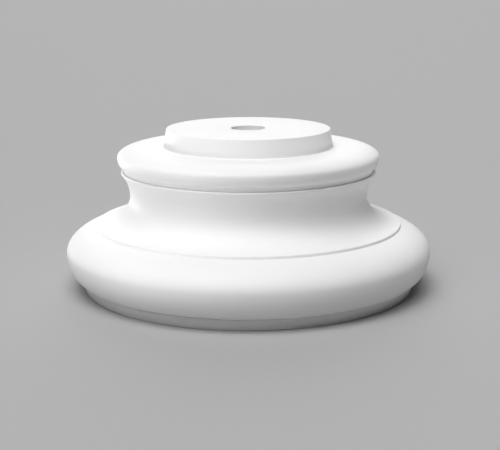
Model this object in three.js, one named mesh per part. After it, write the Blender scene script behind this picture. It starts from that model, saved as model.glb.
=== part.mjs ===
// Column base: the round moulded foot of a column, cast in one piece.
// From the floor up its outline is a foot ring, a fat lower torus, a small step, a hollow scotia,
// a thin fillet over it, a quirk, a smaller upper torus, a flat seat for a hollow shaft, and a
// low boss that the shaft slips over. A round hole runs down the middle.
// Sizes are in millimetres, +Z is up, and the origin is the centre of the underside.
import * as THREE from "three";

// Radii. The hole and the boss are given from the axis, and each member after them is given by
// how far it stands out from, or lies behind, the one before it.
const holeRadius = 14;
const bossTopRadius = 67;
const bossDraft = 2.2;
const seatWidth = 19.6;
const upperTorusRoll = 18.2;
const filletSetback = 2.8;
const quirkSetback = 0.2;
const quirkDepth = 2;
const scotiaDepth = 6.9;
const scotiaFlare = 28.1;
const stepSplay = 0.3;
const lowerTorusRoll = 24.3;
const footSetback = 12.5;
const footTaper = 1.9;

// Heights of the members, stacked from the underside to the top of the boss.
const footHeight = 8.5;
const lowerTorusUnderHeight = 22.2;
const lowerTorusCrownHeight = 20.2;
const stepHeight = 2.1;
const scotiaFlareHeight = 22.4;
const scotiaNeckHeight = 19.3;
const filletHeight = 1.7;
const quirkFall = 0.5;
const quirkHeight = 3.7;
const upperTorusUnderHeight = 7.8;
const upperTorusCrownHeight = 7.4;
const bossHeight = 14.7;

// How far each rounded member turns, in degrees, from the upright place where it is widest or
// narrowest to its end. 90 would end it level.
const lowerTorusUnderTurn = 80;
const lowerTorusCrownTurn = 61;
const scotiaFlareTurn = 79;
const scotiaNeckTurn = 36;
const upperTorusUnderTurn = 70;
const upperTorusCrownTurn = 89;

// Facets: sides around the axis, and straight steps along each rounded member.
const sidesAround = 80;
const longRollSteps = 8;
const shortRollSteps = 6;
const smallRollSteps = 4;

const plasterWhite = new THREE.MeshStandardMaterial({
  name: "white_primer",
  color: 0xf0f0ee,
  roughness: 0.6,
  metalness: 0,
});

// Radii of the outline's corners, worked out from the shaft seat outwards.
const bossFootRadius = bossTopRadius + bossDraft;
const seatRadius = bossFootRadius + seatWidth;
const upperTorusRadius = seatRadius + upperTorusRoll;
const filletRadius = upperTorusRadius - filletSetback;
const quirkRadius = filletRadius - quirkSetback;
const quirkFloorRadius = quirkRadius - quirkDepth;
const neckRadius = filletRadius - scotiaDepth;
const lipRadius = neckRadius + scotiaFlare;
const stepFootRadius = lipRadius + stepSplay;
const lowerTorusRadius = stepFootRadius + lowerTorusRoll;
const footTopRadius = lowerTorusRadius - footSetback;
const footRadius = footTopRadius - footTaper;

// Heights of the outline's corners above the floor.
const undersideZ = 0;
const footTopZ = undersideZ + footHeight;
const lowerTorusZ = footTopZ + lowerTorusUnderHeight;
const stepFootZ = lowerTorusZ + lowerTorusCrownHeight;
const lipZ = stepFootZ + stepHeight;
const neckZ = lipZ + scotiaFlareHeight;
const filletFootZ = neckZ + scotiaNeckHeight;
const filletTopZ = filletFootZ + filletHeight;
const quirkFloorZ = filletTopZ - quirkFall;
const quirkTopZ = filletTopZ + quirkHeight;
const upperTorusZ = quirkTopZ + upperTorusUnderHeight;
const seatZ = upperTorusZ + upperTorusCrownHeight;
const topZ = seatZ + bossHeight;

function corner(radius, z) {
  return new THREE.Vector2(radius, z);
}

// Part of an ellipse that is upright at `start` and has turned by `turn` degrees where it
// reaches `end`, so it always spans exactly from one to the other.
function roll(start, end, turn, steps) {
  const fullTurn = THREE.MathUtils.degToRad(turn);
  const across = (end.x - start.x) / (1 - Math.cos(fullTurn));
  const along = (end.y - start.y) / Math.sin(fullTurn);
  const points = [];
  for (let step = 0; step <= steps; step += 1) {
    const angle = (fullTurn * step) / steps;
    const radius = start.x + across * (1 - Math.cos(angle));
    const z = start.y + along * Math.sin(angle);
    points.push(corner(radius, z));
  }
  return points;
}

// The two halves of a rounded member that is upright at `middle`, listed from the lower end up.
function member(lowerEnd, lowerTurn, lowerSteps, middle, upperEnd, upperTurn, upperSteps) {
  const lowerHalf = roll(middle, lowerEnd, lowerTurn, lowerSteps).reverse();
  const upperHalf = roll(middle, upperEnd, upperTurn, upperSteps).slice(1);
  return [...lowerHalf, ...upperHalf];
}

// The fat lower torus, from the foot ring up to the step below the scotia.
function lowerTorus() {
  const footTop = corner(footTopRadius, footTopZ);
  const widest = corner(lowerTorusRadius, lowerTorusZ);
  const stepFoot = corner(stepFootRadius, stepFootZ);
  return member(
    footTop, lowerTorusUnderTurn, longRollSteps,
    widest,
    stepFoot, lowerTorusCrownTurn, longRollSteps,
  );
}

// The scotia: a hollow that sweeps in from the lip of the step and out again to the fillet.
function scotia() {
  const lip = corner(lipRadius, lipZ);
  const neck = corner(neckRadius, neckZ);
  const filletFoot = corner(filletRadius, filletFootZ);
  return member(
    lip, scotiaFlareTurn, longRollSteps,
    neck,
    filletFoot, scotiaNeckTurn, smallRollSteps,
  );
}

// The upper torus, from the quirk that parts it from the fillet up to the shaft seat.
function upperTorus() {
  const quirkTop = corner(quirkRadius, quirkTopZ);
  const widest = corner(upperTorusRadius, upperTorusZ);
  const seatEdge = corner(seatRadius, seatZ);
  return member(
    quirkTop, upperTorusUnderTurn, smallRollSteps,
    widest,
    seatEdge, upperTorusCrownTurn, shortRollSteps,
  );
}

// The closed outline of half the section: out along the underside, up the face, in over the
// boss and back down the wall of the hole.
function sectionOutline() {
  const holeFoot = corner(holeRadius, undersideZ);
  return [
    holeFoot,
    corner(footRadius, undersideZ),
    ...lowerTorus(),
    ...scotia(),
    corner(filletRadius, filletTopZ),
    corner(quirkFloorRadius, quirkFloorZ),
    ...upperTorus(),
    corner(bossFootRadius, seatZ),
    corner(bossTopRadius, topZ),
    corner(holeRadius, topZ),
    holeFoot.clone(),
  ];
}

// The base is its section turned once around the axis and stood upright.
function columnBase() {
  const geometry = new THREE.LatheGeometry(sectionOutline(), sidesAround);
  geometry.rotateX(Math.PI / 2);
  const base = new THREE.Mesh(geometry, plasterWhite);
  base.name = "column_base";
  return base;
}

const model = new THREE.Group();
model.add(columnBase());

export default model;
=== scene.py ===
import math

import bpy
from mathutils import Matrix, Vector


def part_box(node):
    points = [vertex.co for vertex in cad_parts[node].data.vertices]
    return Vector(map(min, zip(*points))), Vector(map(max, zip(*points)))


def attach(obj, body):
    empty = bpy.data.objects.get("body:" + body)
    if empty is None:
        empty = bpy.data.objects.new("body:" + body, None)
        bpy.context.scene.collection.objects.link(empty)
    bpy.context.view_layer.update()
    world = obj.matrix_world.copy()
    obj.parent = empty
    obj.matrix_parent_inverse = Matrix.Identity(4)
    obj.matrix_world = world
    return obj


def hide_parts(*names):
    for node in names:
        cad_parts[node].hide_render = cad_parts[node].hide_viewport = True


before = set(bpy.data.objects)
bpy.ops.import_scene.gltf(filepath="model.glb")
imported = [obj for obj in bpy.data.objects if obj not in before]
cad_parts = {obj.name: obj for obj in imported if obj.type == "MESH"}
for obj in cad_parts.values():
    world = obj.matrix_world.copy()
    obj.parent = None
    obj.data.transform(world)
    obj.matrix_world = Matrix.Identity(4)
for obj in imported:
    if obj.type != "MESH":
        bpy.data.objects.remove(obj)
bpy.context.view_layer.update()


# Camera. A photographer's view from a little above the base, and square on to it, so the boss
# and its hole show as thin ovals. A long lens keeps the round edges from bulging.
sensor_width_mm = 36
lens_in_widths = 2.3556
camera_distance = 0.95625
camera_height = 0.2650
look_down = math.radians(12.758)
look_right = math.radians(0.078)
lean = math.radians(0.134)

bpy.ops.object.select_all(action="DESELECT")
bpy.ops.object.camera_add(
    location=(0, -camera_distance, camera_height),
    rotation=(math.pi / 2 - look_down, 0, -look_right),
)
camera = bpy.context.object
camera.name = "photo_camera"
camera.data.sensor_width = sensor_width_mm
camera.data.lens = sensor_width_mm * lens_in_widths
camera.data.dof.use_dof = False
camera.rotation_euler.rotate_axis("Z", -lean)
bpy.context.scene.camera = camera


# The base itself. One casting in rigid foam, turned to a moulded outline: a foot ring, a fat lower
# torus, a small step, a hollow scotia, a thin fillet, a quirk, an upper torus, a level seat for the
# shaft and a boss, with a hole down the middle. Its edges are barely eased, as a mould leaves them.
box_low, box_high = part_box("column_base")
lower_torus_radius = box_high.x
underside_z = box_low.z
top_z = box_high.z

foot_radius = lower_torus_radius - 0.0144
foot_top_radius = lower_torus_radius - 0.0125
crease_radius = foot_top_radius - 0.0008
step_foot_radius = lower_torus_radius - 0.0243
lip_radius = step_foot_radius - 0.0003
neck_radius = lip_radius - 0.0281
fillet_radius = neck_radius + 0.0069
quirk_radius = fillet_radius - 0.0002
quirk_floor_radius = quirk_radius - 0.0020
upper_torus_radius = fillet_radius + 0.0028
seat_radius = upper_torus_radius - 0.0182
boss_foot_radius = seat_radius - 0.0196
boss_top_radius = boss_foot_radius - 0.0022
hole_radius = 0.0140

foot_top_z = underside_z + 0.0085
crease_z = foot_top_z + 0.0002
lower_torus_z = foot_top_z + 0.0222
step_foot_z = lower_torus_z + 0.0202
lip_z = step_foot_z + 0.0021
neck_z = lip_z + 0.0224
fillet_foot_z = neck_z + 0.0193
fillet_top_z = fillet_foot_z + 0.0017
quirk_floor_z = fillet_top_z - 0.0005
quirk_top_z = fillet_top_z + 0.0037
upper_torus_z = quirk_top_z + 0.0078
seat_z = top_z - 0.0147


def member(lower_end, lower_turn, middle, upper_end, upper_turn, steps):
    """A rounded member, upright at its middle, as part of an ellipse down and another up.

    Each turn is how far that part has bent over at its end, in degrees; 90 would be level.
    """
    middle_radius, middle_z = middle
    halves = []
    for (end_radius, end_z), turn in ((lower_end, lower_turn), (upper_end, upper_turn)):
        full_turn = math.radians(turn)
        across = (end_radius - middle_radius) / (1 - math.cos(full_turn))
        along = (end_z - middle_z) / math.sin(full_turn)
        half = []
        for step in range(steps + 1):
            angle = full_turn * step / steps
            radius = middle_radius + across * (1 - math.cos(angle))
            z = middle_z + along * math.sin(angle)
            half.append((radius, z))
        halves.append(half)
    lower_half, upper_half = halves
    return lower_half[::-1] + upper_half[1:]


lower_torus = member(
    lower_end=(crease_radius, crease_z),
    lower_turn=84,
    middle=(lower_torus_radius, lower_torus_z),
    upper_end=(step_foot_radius, step_foot_z),
    upper_turn=61,
    steps=18,
)
scotia = member(
    lower_end=(lip_radius, lip_z),
    lower_turn=79,
    middle=(neck_radius, neck_z),
    upper_end=(fillet_radius, fillet_foot_z),
    upper_turn=36,
    steps=16,
)
upper_torus = member(
    lower_end=(quirk_radius, quirk_top_z),
    lower_turn=70,
    middle=(upper_torus_radius, upper_torus_z),
    upper_end=(seat_radius, seat_z),
    upper_turn=89,
    steps=14,
)
outline = [
    (foot_radius, underside_z),
    (foot_top_radius, foot_top_z),
    *lower_torus,
    *scotia,
    (fillet_radius, fillet_top_z),
    (quirk_floor_radius, quirk_floor_z),
    *upper_torus,
    (boss_foot_radius, seat_z),
    (boss_top_radius, top_z),
    (hole_radius, top_z),
    (hole_radius, underside_z),
    (foot_radius, underside_z),
]

sides_around = 320
bpy.ops.object.select_all(action="DESELECT")
bpy.ops.mesh.primitive_circle_add(
    vertices=sides_around,
    radius=foot_radius,
    location=(0, 0, underside_z),
)
base = bpy.context.object
base.name = "moulded_base"
bpy.ops.object.transform_apply(location=True, rotation=True, scale=True)
bpy.ops.object.mode_set(mode="EDIT")
bpy.ops.mesh.select_mode(type="EDGE")
bpy.ops.mesh.select_all(action="SELECT")
last_radius, last_z = outline[0]
for radius, z in outline[1:]:
    bpy.ops.mesh.extrude_region_move(TRANSFORM_OT_translate={"value": (0, 0, z - last_z)})
    growth = radius / last_radius
    bpy.ops.transform.resize(value=(growth, growth, 1), center_override=(0, 0, z))
    last_radius, last_z = radius, z
weld_distance = 0.00001
bpy.ops.mesh.select_all(action="SELECT")
bpy.ops.mesh.remove_doubles(threshold=weld_distance)
bpy.ops.mesh.normals_make_consistent(inside=False)
bpy.ops.mesh.select_all(action="DESELECT")
bpy.ops.object.mode_set(mode="OBJECT")


ring_tolerance = 0.00002


def select_ring(piece, radius, z):
    """Selects the edges of one round arris of the piece."""
    on_ring = []
    for vertex in piece.data.vertices:
        off = math.hypot(math.hypot(vertex.co.x, vertex.co.y) - radius, vertex.co.z - z)
        on_ring.append(off < ring_tolerance)
    for edge in piece.data.edges:
        edge.select = all(on_ring[index] for index in edge.vertices)


easing_segments = 3
eased_arrises = [
    (foot_radius, underside_z, 0.00060),
    (lip_radius, lip_z, 0.00035),
    (fillet_radius, fillet_foot_z, 0.00030),
    (fillet_radius, fillet_top_z, 0.00100),
    (boss_foot_radius, seat_z, 0.00100),
    (boss_top_radius, top_z, 0.00040),
    (hole_radius, top_z, 0.00035),
    (hole_radius, underside_z, 0.00035),
]
for radius, z, easing in eased_arrises:
    select_ring(base, radius, z)
    bpy.ops.object.mode_set(mode="EDIT")
    bpy.ops.mesh.bevel(offset=easing, segments=easing_segments, profile=0.5, affect="EDGES")
    bpy.ops.mesh.select_all(action="DESELECT")
    bpy.ops.object.mode_set(mode="OBJECT")
sharpest_smooth_edge = math.radians(24)
bpy.ops.object.shade_smooth_by_angle(angle=sharpest_smooth_edge)

primer = bpy.data.materials.new("white_primer")
primer.use_nodes = True
nodes, links = primer.node_tree.nodes, primer.node_tree.links
shader = nodes["Principled BSDF"]
shader.inputs["IOR"].default_value = 1.45

place = nodes.new("ShaderNodeTexCoord")
clouds = nodes.new("ShaderNodeTexNoise")
clouds.inputs["Scale"].default_value = 14
clouds.inputs["Detail"].default_value = 3
links.new(place.outputs["Object"], clouds.inputs["Vector"])

tint = nodes.new("ShaderNodeMix")
tint.data_type = "RGBA"
tint.inputs["A"].default_value = (0.835, 0.835, 0.832, 1)
tint.inputs["B"].default_value = (0.885, 0.885, 0.882, 1)
links.new(clouds.outputs["Fac"], tint.inputs["Factor"])
links.new(tint.outputs["Result"], shader.inputs["Base Color"])

sheen_patches = nodes.new("ShaderNodeTexNoise")
sheen_patches.inputs["Scale"].default_value = 55
sheen_patches.inputs["Detail"].default_value = 4
links.new(place.outputs["Object"], sheen_patches.inputs["Vector"])
roughness = nodes.new("ShaderNodeMapRange")
roughness.inputs["To Min"].default_value = 0.50
roughness.inputs["To Max"].default_value = 0.68
links.new(sheen_patches.outputs["Fac"], roughness.inputs["Value"])
links.new(roughness.outputs["Result"], shader.inputs["Roughness"])

stipple_depth = 0.000012
wave_depth = 0.00008
stipple = nodes.new("ShaderNodeTexNoise")
stipple.inputs["Scale"].default_value = 700
stipple.inputs["Detail"].default_value = 2
links.new(place.outputs["Object"], stipple.inputs["Vector"])
waves = nodes.new("ShaderNodeTexNoise")
waves.inputs["Scale"].default_value = 45
waves.inputs["Detail"].default_value = 1
links.new(place.outputs["Object"], waves.inputs["Vector"])
wave_bump = nodes.new("ShaderNodeBump")
wave_bump.inputs["Strength"].default_value = 1
wave_bump.inputs["Distance"].default_value = wave_depth
links.new(waves.outputs["Fac"], wave_bump.inputs["Height"])
stipple_bump = nodes.new("ShaderNodeBump")
stipple_bump.inputs["Strength"].default_value = 1
stipple_bump.inputs["Distance"].default_value = stipple_depth
links.new(stipple.outputs["Fac"], stipple_bump.inputs["Height"])
links.new(wave_bump.outputs["Normal"], stipple_bump.inputs["Normal"])
links.new(stipple_bump.outputs["Normal"], shader.inputs["Normal"])

base.data.materials.append(primer)
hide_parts("column_base")
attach(base, "root")


# The studio. A plain pale grey floor runs far past the view. Large soft lights hang over the base,
# to its left and behind it, and weak panels on the floor lift the undersides of the mouldings.
floor_width = 60
bpy.ops.object.select_all(action="DESELECT")
bpy.ops.mesh.primitive_plane_add(size=floor_width, location=(0, 0, underside_z))
floor = bpy.context.object
floor.name = "studio_floor"
floor_grey = bpy.data.materials.new("floor_grey")
floor_grey.use_nodes = True
floor_shader = floor_grey.node_tree.nodes["Principled BSDF"]
floor_shader.inputs["Base Color"].default_value = (0.415, 0.415, 0.415, 1)
floor_shader.inputs["Roughness"].default_value = 0.9
floor_shader.inputs["Specular IOR Level"].default_value = 0.1
floor.data.materials.append(floor_grey)

studio = bpy.data.worlds.new("studio_air")
studio.use_nodes = True
studio.node_tree.nodes["Background"].inputs["Color"].default_value = (1, 1, 1, 1)
studio.node_tree.nodes["Background"].inputs["Strength"].default_value = 0.05
bpy.context.scene.world = studio
bpy.context.scene.view_settings.view_transform = "Standard"


softbox_spread = math.radians(40)


def far_softbox(name, azimuth, elevation, strength):
    """A large softbox far off; azimuth 0 is the camera's side and 90 its right."""
    around, up = math.radians(azimuth), math.radians(elevation)
    bpy.ops.object.light_add(type="SUN", rotation=(math.pi / 2 - up, 0, around))
    light = bpy.context.object
    light.name = name
    light.data.angle = softbox_spread
    light.data.energy = strength


far_softbox("key_softbox", azimuth=-40, elevation=52, strength=0.885)
far_softbox("left_overhead_softbox", azimuth=-60, elevation=70, strength=0.582)
far_softbox("overhead_softbox", azimuth=0, elevation=70, strength=1.586)
far_softbox("rear_softbox", azimuth=180, elevation=32, strength=0.905)


panel_height = 0.004


def floor_panel(name, azimuth, distance, width, watts):
    """A square panel on the floor that shines up, as a bright table beside the base does."""
    around = math.radians(azimuth)
    x, y = distance * math.sin(around), -distance * math.cos(around)
    place = (x, y, underside_z + panel_height)
    bpy.ops.object.light_add(type="AREA", location=place, rotation=(math.pi, 0, around))
    light = bpy.context.object
    light.name = name
    light.data.shape = "SQUARE"
    light.data.size = width
    light.data.energy = watts
    light.visible_camera = False


floor_panel("rear_left_panel", azimuth=-130, distance=0.9, width=0.4, watts=29.1)
floor_panel("front_left_panel", azimuth=-50, distance=0.9, width=0.4, watts=6.89)
floor_panel("near_panel", azimuth=-40, distance=0.35, width=0.2, watts=0.299)
floor_panel("right_panel", azimuth=90, distance=0.9, width=0.4, watts=6.30)
